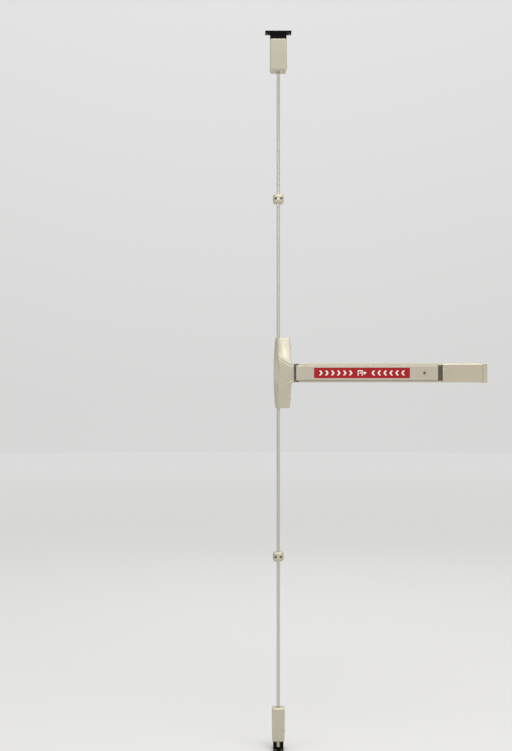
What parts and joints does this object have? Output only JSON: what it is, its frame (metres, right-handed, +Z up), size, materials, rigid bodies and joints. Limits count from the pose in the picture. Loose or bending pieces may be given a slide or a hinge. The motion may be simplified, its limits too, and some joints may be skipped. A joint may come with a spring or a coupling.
{
  "type": "panic exit bar",
  "caption": "Horizontal push bar for a door's inner face, with a centre case that pulls vertical rods to free latches at the head and foot of the door.",
  "frame": {"origin": "on the back of the centre case, against the door, where the rod axis crosses the centre line of the bar", "axes": "+X along the bar away from the centre case, +Y into the door, +Z up the rods"},
  "size_m": [0.6734, 0.0606, 2.189],
  "materials": {
    "satin_cast": "satin warm silver, fine grain",
    "satin_rail": "satin, brushed along the bar",
    "rod_steel": "bright drawn",
    "zinc_steel": "zinc plated pressing",
    "bolt_steel": "satin nickel plated",
    "screw_steel": "dark plated",
    "spring_steel": "oiled spring wire",
    "black_steel": "black powder coat",
    "dark_plastic": "moulded, fine texture",
    "label_red": "printed film"
  },
  "bodies": {
    "frame": {"rail_housing": "satin_rail", "rail_cover": "satin_rail", "end_cap": "satin_cast", "end_bracket": "zinc_steel", "end_cap_screw_upper": "screw_steel", "end_cap_screw_lower": "screw_steel", "slide_guide": "dark_plastic", "crank_stand_left": "zinc_steel", "crank_stand_right": "zinc_steel", "crank_pin_left": "screw_steel", "crank_pin_right": "screw_steel", "return_spring": "spring_steel", "spring_stop": "zinc_steel", "dog_bracket": "zinc_steel", "centre_cover": "satin_cast", "chassis": "zinc_steel", "cover_screw_upper": "screw_steel", "cover_screw_lower": "screw_steel", "lever_pin_upper": "screw_steel", "lever_pin_lower": "screw_steel", "upper_rod_guide": "satin_cast", "upper_guide_screw_left": "screw_steel", "upper_guide_screw_right": "screw_steel", "lower_rod_guide": "satin_cast", "lower_guide_screw_left": "screw_steel", "lower_guide_screw_right": "screw_steel", "top_latch_cover": "satin_cast", "top_latch_base": "zinc_steel", "top_bolt_spring": "spring_steel", "top_cover_screw": "screw_steel", "bottom_latch_cover": "satin_cast", "bottom_latch_base": "zinc_steel", "bottom_cover_screw": "screw_steel"},
    "pad": {"push_pad": "satin_rail", "pad_end_left": "satin_rail", "pad_end_right": "dark_plastic", "pad_label": "label_red", "pad_hanger_left": "zinc_steel", "pad_hanger_right": "zinc_steel", "pad_pin_left": "screw_steel", "pad_pin_right": "screw_steel"},
    "left_crank": {"bell_crank_left": "zinc_steel"},
    "right_crank": {"bell_crank_right": "zinc_steel"},
    "draw": {"draw_bar": "zinc_steel", "crosshead": "zinc_steel"},
    "upper_lever": {"lift_lever_upper": "zinc_steel"},
    "lower_lever": {"lift_lever_lower": "zinc_steel"},
    "upper_rod_set": {"upper_rod": "rod_steel", "upper_rod_head": "zinc_steel", "top_bolt": "bolt_steel"},
    "lower_rod_set": {"lower_rod": "rod_steel", "lower_rod_head": "zinc_steel", "bottom_bolt": "bolt_steel"},
    "dog": {"dog_shaft": "bolt_steel"},
    "head_strike": {"top_strike": "black_steel", "top_strike_screw_left": "screw_steel", "top_strike_screw_right": "screw_steel"},
    "foot_strike": {"floor_strike": "black_steel", "floor_strike_screw_left": "screw_steel", "floor_strike_screw_right": "screw_steel"}
  },
  "joints": [
    {"name": "pad_press", "type": "slide", "parent": "frame", "child": "pad", "axis": [0, 1, 0], "range_m": [0, 0.014], "stiffness_N_per_m": 1500, "springref_m": -0.01},
    {"name": "left_crank_turn", "type": "hinge", "parent": "frame", "child": "left_crank", "pos_m": [0.115, -0.031, 0], "axis": [0, 0, -1], "range_deg": [0, 30.75]},
    {"name": "right_crank_turn", "type": "hinge", "parent": "frame", "child": "right_crank", "pos_m": [0.385, -0.031, 0], "axis": [0, 0, -1], "range_deg": [0, 30.75]},
    {"name": "draw_slide", "type": "slide", "parent": "frame", "child": "draw", "axis": [1, 0, 0], "range_m": [0, 0.00955], "deforming": ["return_spring"]},
    {"name": "upper_lever_turn", "type": "hinge", "parent": "frame", "child": "upper_lever", "pos_m": [0.02, -0.018, 0.045], "axis": [0, -1, 0], "range_deg": [0, 34.75]},
    {"name": "lower_lever_turn", "type": "hinge", "parent": "frame", "child": "lower_lever", "pos_m": [0.02, -0.018, -0.045], "axis": [0, 1, 0], "range_deg": [0, 34.75]},
    {"name": "upper_rod_slide", "type": "slide", "parent": "frame", "child": "upper_rod_set", "axis": [0, 0, -1], "range_m": [0, 0.01195], "deforming": ["top_bolt_spring"]},
    {"name": "lower_rod_slide", "type": "slide", "parent": "frame", "child": "lower_rod_set", "axis": [0, 0, 1], "range_m": [0, 0.01195]},
    {"name": "dog_turn", "type": "hinge", "parent": "frame", "child": "dog", "pos_m": [0.441, -0.03, 0], "axis": [0, -1, 0], "range_deg": [0, 90]},
    {"name": "top_strike_off", "type": "slide", "parent": "frame", "child": "head_strike", "axis": [0, 0, 1], "range_m": [0, 0.03]},
    {"name": "floor_strike_off", "type": "slide", "parent": "frame", "child": "foot_strike", "axis": [0, 0, -1], "range_m": [0, 0.03]}
  ],
  "couplings": [
    {"joint": "left_crank_turn", "follows": "pad_press", "rad_per_m": 38.273},
    {"joint": "right_crank_turn", "follows": "pad_press", "rad_per_m": 38.273},
    {"joint": "draw_slide", "follows": "pad_press", "ratio": 0.6807},
    {"joint": "upper_lever_turn", "follows": "pad_press", "rad_per_m": 43.199},
    {"joint": "lower_lever_turn", "follows": "pad_press", "rad_per_m": 43.199},
    {"joint": "upper_rod_slide", "follows": "pad_press", "ratio": 0.85088},
    {"joint": "lower_rod_slide", "follows": "pad_press", "ratio": 0.85088}
  ]
}
